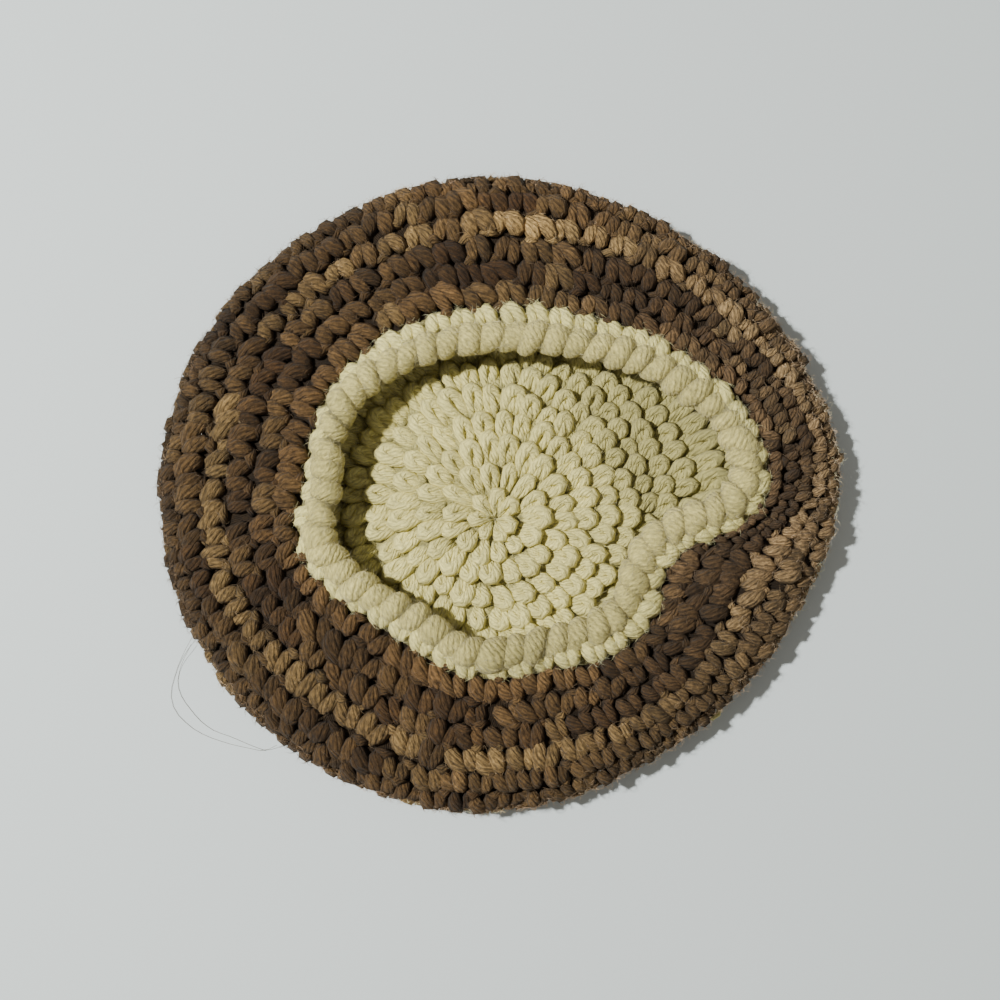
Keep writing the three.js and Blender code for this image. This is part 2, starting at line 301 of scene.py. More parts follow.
# %% helper that makes one bent strand
def make_strand(points, radius, rows, sides=8):
    """One strand through the points, in millimetres, as arrays of points, faces and UV."""
    bpy.ops.object.select_all(action="DESELECT")
    bpy.ops.curve.primitive_bezier_curve_add(location=(0, 0, 0))
    curve = bpy.context.object
    curve.data.twist_mode = "Z_UP"
    curve.data.resolution_u = 16
    spline = curve.data.splines[0]
    spline.bezier_points.add(len(points) - 2)
    for knot, point in zip(spline.bezier_points, points):
        knot.co = point
        knot.handle_left_type = knot.handle_right_type = "AUTO"
    bpy.context.view_layer.update()
    length = spline.calc_length()
    bpy.ops.object.select_all(action="DESELECT")
    bpy.ops.mesh.primitive_cylinder_add(
        vertices=sides, radius=radius, depth=length, rotation=(0, QUARTER_TURN, 0), location=(length / 2, 0, 0)
    )
    strand = bpy.context.object
    bpy.ops.object.transform_apply(location=True, rotation=True, scale=True)
    rings = [(share * length, width) for share, width in rows]
    bpy.ops.object.mode_set(mode="EDIT")
    for place, _ in rings[1:-1]:
        bpy.ops.mesh.select_all(action="SELECT")
        bpy.ops.mesh.bisect(plane_co=(place, 0, 0), plane_no=(1, 0, 0))
    for place, width in rings:
        bpy.ops.mesh.select_all(action="DESELECT")
        bpy.ops.object.mode_set(mode="OBJECT")
        for vertex in strand.data.vertices:
            vertex.select = bool(abs(vertex.co.x - place) < 0.01 * length)
        bpy.ops.object.mode_set(mode="EDIT")
        bpy.ops.transform.resize(value=(1, width, width), center_override=(place, 0, 0))
    bpy.ops.object.mode_set(mode="OBJECT")
    bend = strand.modifiers.new("bend", "CURVE")
    bend.object = curve
    bend.deform_axis = "POS_X"
    bpy.ops.object.modifier_apply(modifier="bend")
    mesh = strand.data
    corners = np.zeros((len(mesh.vertices), 3))
    mesh.vertices.foreach_get("co", corners.ravel())
    faces = [tuple(face.vertices) for face in mesh.polygons]
    uv = np.zeros((len(mesh.loops), 2))
    mesh.uv_layers[0].data.foreach_get("uv", uv.ravel())
    uv[:, 1] = (uv[:, 1] - 0.5) * 2 * length
    bpy.data.objects.remove(strand)
    bpy.data.objects.remove(curve)
    return corners, faces, uv


def join_strands(*strands):
    """Several strands of one stitch as one set of arrays."""
    corners, faces, uv, parts, first = [], [], [], [], 0
    for number, (some_corners, some_faces, some_uv) in enumerate(strands):
        corners.append(some_corners)
        faces += [tuple(first + index for index in face) for face in some_faces]
        uv.append(some_uv)
        parts.append(np.full(len(some_corners), float(number)))
        first += len(some_corners)
    return {"corners": np.concatenate(corners), "faces": faces, "uv": np.concatenate(uv),
            "part": np.concatenate(parts)}


# %% [markdown]
# ## The two faces of a single crochet stitch
#
# Inside the crown we see the back of the stitches: a plump loop like a petal, rounded on the
# outside, with its two legs running in under the loop of the round before, and a filling strand
# between them. On the brown rounds we see the front: two plump legs in a V that points to the older
# round, and the small top loop between two Vs. X runs along the round, Y across it and Z up.

# %% model the petal, the V and the wrap of the band
STITCH_WIDTH = 9.0
STITCH_LENGTH = 10.0

# share of the strand's length, share of its radius
LOOP_ROWS = [(0, 0.70), (0.17, 0.95), (0.33, 1.03), (0.43, 1.06), (0.50, 1.10),
             (0.57, 1.06), (0.67, 1.03), (0.83, 0.95), (1, 0.70)]
LEG_ROWS = [(0, 0.50), (0.22, 1.02), (0.50, 1.16), (0.78, 0.98), (1, 0.55)]
SHORT_ROWS = [(0, 0.65), (0.50, 1.10), (1, 0.65)]

petal_loop = make_strand(
    [(-1.3, -3.2, -2.6), (-2.0, 0.4, -0.7), (-2.4, 3.4, 1.2), (-2.2, 6.3, 2.4), (0.4, 8.8, 2.2),
     (2.6, 6.3, 1.0), (2.4, 3.4, -0.5), (1.9, 0.4, -2.1), (1.4, -3.2, -3.5)],
    radius=2.4, rows=LOOP_ROWS, sides=6)
petal_filling = make_strand([(1.0, -2.0, -2.6), (0.5, 2.4, 0.3), (-0.2, 6.8, 1.6)], 2.0, SHORT_ROWS, sides=5)
petal = join_strands(petal_loop, petal_filling)

near_leg = make_strand([(-0.4, -1.3, -2.1), (-1.6, 2.4, 0.4), (-2.3, 6.0, 0.9), (-2.1, 9.4, -0.9)], 2.55, LEG_ROWS, sides=6)
far_leg = make_strand([(1.0, -1.1, -2.2), (1.8, 2.4, 0.0), (2.5, 6.0, 0.4), (2.9, 9.4, -1.1)], 2.35, LEG_ROWS, sides=6)
top_loop = make_strand([(2.3, 9.7, -1.0), (4.5, 9.1, 0.5), (6.6, 9.7, -1.0)], 2.0, SHORT_ROWS, sides=5)
vee = join_strands(near_leg, far_leg, top_loop)

WRAP_START = math.radians(-55)
WRAP_END = math.radians(235)
WRAP_LENGTH = 10.0
WRAP_ROWS = [(0, 0.62), (0.11, 0.85), (0.22, 0.97), (0.33, 1.03), (0.44, 1.06),
             (0.56, 1.06), (0.67, 1.03), (0.78, 0.97), (0.89, 0.85), (1, 0.62)]
wrap = join_strands(
    make_strand([(0, 0, 0), (0, 5, 0), (0, WRAP_LENGTH, 0)], 1.0, WRAP_ROWS, sides=18))
for name, stitch in (("petal", petal), ("V", vee), ("wrap", wrap)):
    print(name, "has", len(stitch["faces"]), "faces")

# %% [markdown]
# ## Laying the stitches
#
# A round of stitches is the same shape again and again, each a little different because it is made
# by hand. The copies are laid together as one mesh: a small shift, size, height and lean is drawn
# for each, from a numbered seed, so that the hat comes out the same every time. Each copy also
# carries its colour as a painted attribute, and a random number that the yarn's fibres use.

# %% helper that lays copies of a stitch
def build_mesh(name, corners, faces, uv, tone, chance):
    """One mesh object from arrays. Faces are given as equal copies of one list."""
    mesh = bpy.data.meshes.new(name)
    copies = len(corners)
    each = corners.shape[1]
    totals = np.tile([len(face) for face in faces], copies)
    corner_of_face = np.concatenate([np.array(face) for face in faces])
    indices = (corner_of_face[None, :] + each * np.arange(copies)[:, None]).ravel()
    mesh.vertices.add(copies * each)
    mesh.vertices.foreach_set("co", (corners * MM).astype(np.float32).ravel())
    mesh.loops.add(len(indices))
    mesh.loops.foreach_set("vertex_index", indices.astype(np.int32))
    mesh.polygons.add(len(totals))
    mesh.polygons.foreach_set("loop_start", np.concatenate([[0], np.cumsum(totals)[:-1]]).astype(np.int32))
    mesh.polygons.foreach_set("use_smooth", np.ones(len(totals), bool))
    layer = mesh.uv_layers.new(name="yarn")
    layer.data.foreach_set("uv", np.tile(uv, (copies, 1)).astype(np.float32).ravel())
    mesh.update(calc_edges=True)
    colour = mesh.color_attributes.new("tone", "FLOAT_COLOR", "POINT")
    paint = np.concatenate([np.broadcast_to(tone, corners.shape), np.ones((copies, each, 1))], -1)
    colour.data.foreach_set("color", paint.astype(np.float32).ravel())
    random_layer = mesh.attributes.new("chance", "FLOAT", "POINT")
    random_layer.data.foreach_set("value", np.broadcast_to(chance, (copies, each)).astype(np.float32).ravel())
    mesh.validate()
    piece = bpy.data.objects.new(name, mesh)
    bpy.context.scene.collection.objects.link(piece)
    return piece


def squaring(place, rounds, angle):
    """Change of angle, over one round, that keeps a stitch square to its round where the rounds lie askew."""
    small = 0.01
    level = np.zeros(angle.shape)
    along = (place(angle + small, level + rounds, level) - place(angle - small, level + rounds, level)) / (2 * small)
    inward = place(angle, level + rounds + 0.5, level) - place(angle, level + rounds - 0.5, level)
    return (along * inward).sum(-1) / (along**2).sum(-1)


def lay_stitches(name, stitch, rounds, place, paint, seed, lift=0.0, mirrored=False, lean=0.0, shrink=0.0,
                 uneven=1.0, hollow_shade=0.6, crowding=0.0):
    """Lays a stitch along rounds, which are pairs of round number and count of stitches."""
    rng = np.random.default_rng(seed)
    x = stitch["corners"][:, 0] / STITCH_WIDTH * (-1 if mirrored else 1)
    y = stitch["corners"][:, 1] / STITCH_LENGTH
    z = stitch["corners"][:, 2]
    strand = stitch["part"].astype(int)
    # Painted shade: each stitch is painted darker where it lies deep in the fabric, down to hollow_shade in the
    # hollows.
    hollow_painted_shade = hollow_shade + (1 - hollow_shade) * np.clip((z + 1.6) / 2.6, 0, 1)
    laid, tones, chances = [], [], []
    for number, count in rounds:
        angle, span, _ = even_angles(place, number + 0.5, count, rng.uniform(0, 1), crowding)
        draw = rng.normal(0, 1, (count, 6)).clip(-2, 2)[..., None]
        strand_draw = rng.normal(0, 1, (count, 3)).clip(-2, 2)[:, strand]
        wave = 0.05 * np.sin(3 * angle + 1.7 * number) + 0.04 * np.sin(5 * angle + 2.9 * number)
        bulk = 1 + 0.06 * uneven * draw[:, 0]
        turn = math.radians(7) * uneven * draw[:, 2]
        along = x * bulk + 0.035 * uneven * draw[:, 1] + (lean + turn) * (y - 0.5)
        across = (y - 0.5) * (1 + 0.05 * uneven * draw[:, 3]) + 0.5 - turn * x + 0.03 * uneven * draw[:, 4]
        height = lift + z * (1 - shrink) * bulk + 0.25 * uneven * (draw[:, 5] + strand_draw)
        where = angle[:, None] + along * span[:, None]
        across = across + wave[:, None]
        laid.append(place(where - squaring(place, number + 0.5, angle)[:, None] * (y - 0.5), number + across, height))
        tones.append(paint(rng, number, angle, stitch["part"]) * hollow_painted_shade[None, :, None])
        chances.append(rng.uniform(0, 1, (count, 1)) + stitch["part"] * 0.37)
    return build_mesh(name, np.concatenate(laid), stitch["faces"], stitch["uv"], np.concatenate(tones),
                      np.concatenate(chances))


# %% [markdown]
# ## Colours of the yarns
#
# The cream yarn varies only a little from stitch to stitch. The brown yarn is dyed in stretches that
# run from dark umber over taupe to khaki, with a reddish tan beside the cream. A stretch lasts a few
# stitches, so each round shows patches. The table says which share of each tone a round has, counted
# from the table up, and the rest follows from a smooth wave along the yarn. Light and shade are also
# painted in: the brown is painted lighter and darker round the hat, with a painted shadow beside the
# dent, and the crown's cream is painted darker where it falls away on the right.

# %% tones and the table of rounds
CREAM = np.array([0.820, 0.748, 0.285])
CREAM_BAND = np.array([0.550, 0.488, 0.180])
UMBER = np.array([0.042, 0.0210, 0.0074])
TAUPE = np.array([0.083, 0.047, 0.0172])
KHAKI = np.array([0.240, 0.157, 0.061])
TAN = np.array([0.151, 0.085, 0.032])

# round, weight of umber, of taupe, of khaki, of tan
BROWN_TONE_ROWS = [
    (0, 0.0, 0.3, 0.7, 0.0), (1, 0.1, 0.6, 0.4, 0.0), (2, 0.3, 0.8, 0.1, 0.0), (3, 0.5, 0.6, 0.2, 0.0),
    (4, 0.1, 0.4, 0.8, 0.1), (5, 0.7, 0.5, 0.1, 0.1), (6, 0.7, 0.4, 0.1, 0.3), (7, 0.1, 0.2, 0.1, 1.0),
]

BROWN_STRENGTHS = [1.0, 1.0, 1.0, 1.0, 1.1, 1.0, 0.92, 0.86]

# angle in degrees, lightness of rounds 0 and 1, of rounds 2 to 4, of rounds 5 to 7, as painted light and shade round
# the hat
BROWN_PAINTED_LIGHT_ROWS = [
    (0, 3.3, 2.05, 1.25), (45, 2.1, 1.5, 1.25), (90, 1.05, 1.55, 1.12), (135, 0.80, 0.85, 1.00),
    (180, 0.58, 0.90, 1.05), (225, 0.85, 0.78, 1.00), (270, 1.70, 1.15, 1.45), (315, 1.50, 0.98, 1.15),
]


# at the right the tones of the rounds differ less
COMMON_TONE = np.array([0.134, 0.084, 0.033])
ALIKE_OUTER = 0.78
ALIKE_INNER = 0.20
# painted sheen: at the right the brown tones are greyed towards their mean, for the pale sheen of the fuzz there
GREYED_AT_RIGHT = 0.16
ALIKE_TURN = math.radians(-15)


def paint_cream(base):
    def paint(rng, number, angle, part):
        shade = 1 + 0.05 * rng.normal(0, 1, (len(angle), 1, 1)).clip(-2, 2)
        return base * shade + np.zeros((len(angle), len(part), 3))
    return paint


def paint_crown(rng, number, angle, part):
    """The crown's cream, painted darker where it falls away on the right: painted shade of the slope."""
    far = np.clip((number - 2.5) / 3.5, 0, 1)
    to_right = np.clip(np.cos(angle - math.radians(22)), 0, 1) ** 3
    slope_painted_shade = 1 - 0.42 * far * to_right
    return paint_cream(CREAM)(rng, number, angle, part) * slope_painted_shade[:, None, None]


def paint_brown(rng, number, angle, part):
    """Tones of one brown round, as weights that drift along the yarn, with painted light, shade, shadow and sheen."""
    drift = []
    for tone in range(4):
        start = rng.uniform(0, FULL_TURN, 3)
        drift.append(0.5 * np.sin(7 * angle + start[0]) + 0.45 * np.sin(13 * angle + start[1])
                     + 0.35 * np.sin(23 * angle + start[2]))
    weights = np.array(BROWN_TONE_ROWS[int(number)][1:])[:, None] + 0.30 * np.array(drift)
    to_right = np.clip(np.cos(angle - math.radians(8)), 0, 1) ** 2
    # More khaki on the outer rounds at the right: partly the yarn's own lighter stretches there, partly painted light
    # on the turned edge.
    weights[2] += (0.45 if number < 4 else 0.10) * to_right
    # Painted shadow: more umber on the inner rounds beside the dent, where the band casts its shadow into a deep
    # valley.
    painted_shadow_by_the_dent = np.clip(np.cos(angle - math.radians(-28)), 0, 1) ** 8
    weights[0] += (0.9 if number > 4 else 0.0) * painted_shadow_by_the_dent
    at_the_back = np.clip(np.sin(angle), 0, 1) ** 2
    weights[3] -= (0.8 if number > 5 else 0.0) * at_the_back
    weights = weights + 0.22 * rng.normal(0, 1, weights.shape)
    weights = np.exp(4.0 * weights)
    weights /= weights.sum(0)
    tones = weights.T @ np.array([UMBER, TAUPE, KHAKI, TAN])
    alike = (ALIKE_OUTER if number < 5 else ALIKE_INNER) * np.clip(np.cos(angle - ALIKE_TURN), 0, 1) ** 1.5
    tones = tones + alike[:, None] * (COMMON_TONE - tones)
    # Painted sheen: grey the tones at the right.
    tones = tones + GREYED_AT_RIGHT * to_right[:, None] * (tones.mean(-1, keepdims=True) - tones)
    column = 1 if number < 2 else 2 if number < 5 else 3
    # Painted light and shade: each round is made lighter or darker by its angle round the hat, on top of its own
    # strength.
    round_strength_and_painted_light = BROWN_STRENGTHS[int(number)] * read_around(BROWN_PAINTED_LIGHT_ROWS, column, angle)
    shade = round_strength_and_painted_light[:, None] * (1 + 0.20 * rng.normal(0, 1, (len(angle), 3)).clip(-2, 2))
    strand_shade = shade[:, np.minimum(part.astype(int), 2)]
    return tones[:, None, :] * strand_shade[..., None]


print("tones of the brown yarn:", len(BROWN_TONE_ROWS), "rounds")

# %% [markdown]
# ## The crown
#
# The crown grows by seven stitches a round. Its inside carries petals. Its outside, which lies on
# the table, carries the Vs of the front.

# %% lay the crown
CROWN_INCREASE = 7
crown_rounds = [(number, CROWN_INCREASE * (number + 1)) for number in range(CROWN_ROUNDS)]
crown_inside = lay_stitches("crown_inside_stitches", petal, crown_rounds, on_crown, paint_crown,
                            seed=11, lift=0.9, mirrored=True, lean=0.14, uneven=1.9, hollow_shade=0.72)


def under_crown(angle, rounds, height):
    """The outside of the crown faces down, so heights there count downwards."""
    return on_crown(angle, rounds, -height)


crown_outside = lay_stitches("crown_outside_stitches", vee, crown_rounds, under_crown, paint_cream(CREAM),
                             seed=12, lift=0.7, shrink=0.3)
print("stitches in the crown:", sum(count for _, count in crown_rounds))

# %% [markdown]
# ## The brown rounds and the collar round
#
# These show the front of the stitch. The count falls from the widest round to the collar, which
# draws the fabric in over the crown.

# %% lay the brown rounds and the collar round
COLLAR_STITCH_LENGTH = 9.0


def over_collar(angle, rounds, height):
    """The collar's stitches run from the brown ones in under the band."""
    plan = collar_outer(angle) - band_outward(angle) * (COLLAR_STITCH_LENGTH * rounds)[..., None]
    up = collar_foot_height(angle) + COLLAR_DROP * rounds - FABRIC_THICKNESS / 2 + height
    return np.concatenate([plan, up[..., None]], -1)


# round, stitches in it
BROWN_COUNT_ROWS = [(0, 84), (1, 84), (2, 80), (3, 74), (4, 68), (5, 62), (6, 57), (7, 53)]
COLLAR_STITCHES = 50
edge_stitches = lay_stitches("edge_stitches", vee, BROWN_COUNT_ROWS[:2], on_brown, paint_brown,
                             seed=21, lift=1.0, lean=-0.10, uneven=1.2, hollow_shade=0.44, crowding=0.9)
turned_stitches = lay_stitches("turned_stitches", vee, BROWN_COUNT_ROWS[2:4], on_brown, paint_brown,
                               seed=22, lift=1.4, lean=-0.10, uneven=1.8, hollow_shade=0.42, crowding=0.9)
underside_stitches = lay_stitches("underside_stitches", vee, BROWN_COUNT_ROWS[4:], on_brown, paint_brown,
                                  seed=23, lift=1.4, lean=-0.10, uneven=1.9, hollow_shade=0.42, crowding=0.9)
collar_stitches = lay_stitches("collar_stitches", vee, [(0, COLLAR_STITCHES)], over_collar,
                               paint_cream(CREAM), seed=24, lift=2.0, lean=-0.10, uneven=1.5, hollow_shade=0.34)
print("stitches in the brown rounds:", sum(count for _, count in BROWN_COUNT_ROWS))

# %% [markdown]
# ## The rolled band
#
# The last round is worked backwards, which rolls the edge into a rope. Each of its stitches wraps
# the rope at a slant as a broad soft lump. The straight wrap is laid round the rope: its length
# becomes the angle of the wrap.

# %% lay the wraps of the band
WRAP_HALF_WIDTH = 5.1
WRAP_HALF_DEPTH = 3.7
WRAP_SLANT = 0.48
rng = np.random.default_rng(31)
angle, span, band_length = even_angles(on_band, 0, BAND_STITCHES)
draw = rng.normal(0, 1, (BAND_STITCHES, 5)).clip(-2, 2)[..., None]
ripple_start = rng.uniform(0, FULL_TURN, (BAND_STITCHES, 1))
stitch_width = band_length / BAND_STITCHES
lean = WRAP_START + (WRAP_END - WRAP_START) * wrap["corners"][:, 1] / WRAP_LENGTH
along = wrap["corners"][:, 0] * WRAP_HALF_WIDTH / stitch_width * (1 + 0.08 * draw[:, 0])
along = along + (WRAP_SLANT + 0.12 * draw[:, 1]) * (lean - QUARTER_TURN) / math.pi + 0.06 * draw[:, 2]
radius = BAND_THICKNESS / 2 - WRAP_HALF_DEPTH + wrap["corners"][:, 2] * WRAP_HALF_DEPTH * (1 + 0.10 * draw[:, 3])
ripple = np.sin(1.7 * lean + 2.6 * wrap["corners"][:, 0] + ripple_start)
radius = radius + 0.9 + 0.40 * draw[:, 4] + 0.42 * ripple
where = angle[:, None] + along * span[:, None]
laid = on_band(where, np.broadcast_to(lean, where.shape), radius)
# Painted shade: the wraps are painted darker in the creases between them, and the band is painted darker at the front
# right, where it faces away from the light.
crease_painted_shade = 0.42 + 0.58 * np.clip(1.15 * wrap["corners"][:, 2], 0, 1) ** 0.7
painted_shade_at_front = np.clip(np.cos(angle - math.radians(-70)), 0, 1) ** 2
band_tones = paint_cream(CREAM_BAND)(rng, 0, angle, wrap["part"]) * crease_painted_shade[None, :, None] * (1 - 0.16 * painted_shade_at_front)[:, None, None]
wrap_uv = wrap["uv"] * [1, (WRAP_END - WRAP_START) * BAND_THICKNESS / 2 / WRAP_LENGTH]
band_stitches = build_mesh("band_stitches", laid, wrap["faces"], wrap_uv,
                           band_tones, rng.uniform(0, 1, (BAND_STITCHES, 1)))
print("stitches in the band:", BAND_STITCHES, "each", round(float(stitch_width), 1), "mm wide")

# %% [markdown]
# ## The fabric behind the stitches
#
# Between the plump strands one sees more yarn and not daylight. A sheet in the middle of the
# fabric's thickness stands for it. It starts as a grid, every corner is laid on the hat, and the
# seam is merged. A Solidify modifier gives the open sheets their thickness; the band's core is a
# closed tube and gets none.

# %% lay the sheets behind the stitches
def lay_sheet(name, place, first, last, thickness, tone, height=0.0, around=216, across=24, closed=False):
    """A sheet round the hat from the first to the last of the rounds that the place function takes."""
    bpy.ops.object.select_all(action="DESELECT")
    bpy.ops.mesh.primitive_grid_add(x_subdivisions=around, y_subdivisions=across, size=2, location=(0, 0, 0))
    sheet = bpy.context.object
    sheet.name = sheet.data.name = name
    mesh = sheet.data
    grid = np.zeros((len(mesh.vertices), 3))
    mesh.vertices.foreach_get("co", grid.ravel())
    angle = (grid[:, 0] + 1) * math.pi
    rounds = first + (last - first) * (grid[:, 1] + 1) / 2
    corners = place(angle, rounds, np.full(angle.shape, float(height))) * MM
    mesh.vertices.foreach_set("co", corners.astype(np.float32).ravel())
    uv = np.stack([(grid[:, 0] + 1) * around / 4, rounds * STITCH_LENGTH], -1)
    corner_index = np.zeros(len(mesh.loops), np.int32)
    mesh.loops.foreach_get("vertex_index", corner_index)
    mesh.uv_layers[0].data.foreach_set("uv", uv[corner_index].astype(np.float32).ravel())
    mesh.uv_layers[0].name = "yarn"
    bpy.ops.object.mode_set(mode="EDIT")
    bpy.ops.mesh.select_all(action="SELECT")
    bpy.ops.mesh.remove_doubles(threshold=0.00002)
    bpy.ops.mesh.normals_make_consistent(inside=False)
    bpy.ops.object.mode_set(mode="OBJECT")
    if not closed:
        wall = sheet.modifiers.new("wall", "SOLIDIFY")
        wall.thickness = thickness * MM
        wall.offset = 0
        bpy.ops.object.modifier_apply(modifier="wall")
    bpy.ops.object.shade_smooth()
    colour = mesh.color_attributes.new("tone", "FLOAT_COLOR", "POINT")
    colour.data.foreach_set("color", np.tile([*tone, 1], len(mesh.vertices)).astype(np.float32))
    chance = mesh.attributes.new("chance", "FLOAT", "POINT")
    chance.data.foreach_set("value", np.full(len(mesh.vertices), 0.5, np.float32))
    return sheet


# The sheets stand for the yarn between the strands; their tones are the yarns' tones darkened, as painted shade, since
# they lie in the shade of the stitches.
SHEET_THICKNESS = 1.4
SHEET_HEIGHT = -0.9
SHEET_PAINTED_SHADE = 0.38
crown_fabric = lay_sheet("crown_fabric", on_crown, 0, CROWN_ROUNDS, SHEET_THICKNESS, CREAM * 0.66, -0.5)
brown_fabric = lay_sheet("brown_fabric", on_brown, 0, BROWN_ROUNDS, SHEET_THICKNESS, TAUPE * SHEET_PAINTED_SHADE, SHEET_HEIGHT)
collar_fabric = lay_sheet("collar_fabric", over_collar, 0, 1, SHEET_THICKNESS, CREAM_BAND * 0.55, 0.0, across=6)
band_core = lay_sheet("band_core", lambda angle, lean, height: on_band(angle, lean, height + 5.2), 0, FULL_TURN,
                      0, CREAM_BAND * 0.62, across=12, closed=True)
for sheet in (crown_fabric, brown_fabric, collar_fabric, band_core):
    print(sheet.name, len(sheet.data.polygons), "faces")

# %% [markdown]
# ## Loose fibres
#
# Soft yarn is hairy, and the rolled band most of all. A fibre is a thin bent cone of three sides. It
# is laid many times over the stitches, root on the yarn and tip free, most of it lying nearly flat.

# %% lay the loose fibres
FIBRE_LENGTH = 10.0
FIBRE_ROWS = [(0, 1.0), (0.5, 0.85), (1, 0.3)]
fibre = join_strands(make_strand([(0, 0, 0), (5, 0, 0), (FIBRE_LENGTH, 0, 0)], 1.0, FIBRE_ROWS, sides=3))


FIBRE_GREYING = 0.35


def lay_fibres(name, pieces, count, shortest, longest, seed, tone_share, raised, thick, grows):
    """Fibres rooted on the stitches of some pieces: on top, all over, or only at the outer edge."""
    rng = np.random.default_rng(seed)
    roots, normals, tones = [], [], []
    for piece in pieces:
        mesh = piece.data
        co = np.zeros((len(mesh.vertices), 3))
        mesh.vertices.foreach_get("co", co.ravel())
        no = np.zeros((len(mesh.vertices), 3))
        mesh.vertex_normals.foreach_get("vector", no.ravel())
        tone = np.zeros((len(mesh.vertices), 4))
        mesh.color_attributes["tone"].data.foreach_get("color", tone.ravel())
        roots.append(co / MM)
        normals.append(no)
        tones.append(tone[:, :3])
    roots, normals, tones = np.concatenate(roots), np.concatenate(normals), np.concatenate(tones)
    distance = np.linalg.norm(roots[:, :2], axis=1)
    outwards = roots[:, :2] / distance[:, None]
    light = tones.sum(1) > np.quantile(tones.sum(1), 0.4)
    on_top = (normals[:, 2] > 0.25) & light
    at_side = ((normals[:, :2] * outwards).sum(1) > 0.5) & (normals[:, 2] > -0.2)
    rim = HAT_RADIUS * read_around(OUTLINE_ROWS, 1, np.arctan2(roots[:, 1], roots[:, 0]))
    shows = {"on top": on_top, "all over": on_top | at_side, "at the edge": at_side & (distance > rim - 4)}[grows]
    chosen = rng.choice(np.flatnonzero(shows), count, replace=True)
    if grows == "all over":
        seam = collar_outer(np.linspace(0, FULL_TURN, 240))
        apart = np.linalg.norm(roots[chosen][:, None, :2] - seam[None], axis=-1).min(1)
        chosen = chosen[apart > 5.5]
        count = len(chosen)
    root, normal, tone = roots[chosen], normals[chosen], tones[chosen]
    aside = rng.normal(0, 1, (count, 3))
    along = aside - normal * (aside * normal).sum(1, keepdims=True)
    along /= np.linalg.norm(along, axis=1, keepdims=True)
    across = np.cross(normal, along)
    size = rng.uniform(shortest, longest, (count, 1, 1))
    curl, rise = rng.normal(0, 0.6, (count, 1)), rng.uniform(0.05, raised, (count, 1))
    share = fibre["corners"][None, :, 0] / FIBRE_LENGTH
    sideways = curl * share**2
    upwards = rise * share * (1.6 - share)
    laid = (root - normal * 0.2)[:, None, :] + size * (
        share[..., None] * along[:, None, :] + sideways[..., None] * across[:, None, :]
        + upwards[..., None] * normal[:, None, :])
    laid = laid + thick * (fibre["corners"][None, :, 1:2] * across[:, None, :]
                                  + fibre["corners"][None, :, 2:] * normal[:, None, :])
    laid[..., 2] = np.maximum(laid[..., 2], ON_TABLE)
    paint = tone[:, None, :] * tone_share * rng.uniform(0.8, 1.2, (count, 1, 1))
    paint = paint + FIBRE_GREYING * (paint.mean(-1, keepdims=True) - paint)
    return build_mesh(name, laid, fibre["faces"], fibre["uv"], paint.clip(0, 0.9) + np.zeros(laid.shape),
                      rng.uniform(0, 1, (count, 1)))


# The tone column lifts each fibre above the painted tone of its root. Loose fibres are paler than the yarn, and the
# strong lift at the edge is also a painted highlight, for fuzz that catches the light.
# name, pieces that they grow on, count, shortest and longest length, seed, tone, rise, radius, where
FIBRE_LAY_ROWS = [
    ("band_fibres", [band_stitches, collar_stitches], 13000, 1.2, 4.0, 41, 1.25, 0.60, 0.042, "on top"),
    ("crown_fibres", [crown_inside], 10000, 1.2, 4.0, 42, 1.15, 0.35, 0.040, "on top"),
    ("brown_fibres", [edge_stitches, turned_stitches, underside_stitches], 13000, 1.0, 3.2, 43, 2.3, 0.50, 0.050, "all over"),
    ("edge_fibres", [edge_stitches, turned_stitches], 11000, 0.8, 2.6, 44, 4.0, 1.10, 0.055, "at the edge"),
]
band_fibres, crown_fibres, brown_fibres, edge_fibres = (lay_fibres(*row) for row in FIBRE_LAY_ROWS)
print("fibres:", sum(row[2] for row in FIBRE_LAY_ROWS))

# %% [markdown]
# ## Stray ends
#
# A worn hat sheds. One long fibre has slipped out at the front left and lies doubled on the table, a tip
# of cream yarn shows under the edge at the front right, and a few broken fibres stand by the crown's ring.

# %% lay the stray ends
HAIR_RADIUS = 0.075
HAIR_ROWS = [(share, 1.0) for share in np.linspace(0, 1, 21)]
hair_out = [(-122.0, -58.0, 3.0), (-127.6, -68.0, 0.6), (-130.5, -76.2, 0.3), (-131.7, -83.9, 0.3),
            (-129.7, -89.7, 0.3), (-126.0, -93.8, 0.3), (-121.1, -97.5, 0.3), (-111.3, -101.6, 0.3),
            (-99.9, -104.4, 0.3), (-94.2, -105.3, 0.5), (-88.5, -103.0, 3.0)]
hair_back = [(-123.5, -63.0, 3.0), (-128.4, -73.3, 0.3), (-128.8, -80.3, 0.3), (-123.5, -89.3, 0.3),
             (-115.4, -96.7, 0.3), (-107.2, -99.9, 0.3), (-98.3, -103.6, 0.3), (-93.4, -105.3, 0.5)]

def lay_strands(name, strands, tone):
    """Strands that are in place already, as one piece."""
    joined = join_strands(*strands)
    return build_mesh(name, joined["corners"][None], joined["faces"], joined["uv"], np.array(tone),
                      np.zeros((1, 1)) + 0.3)


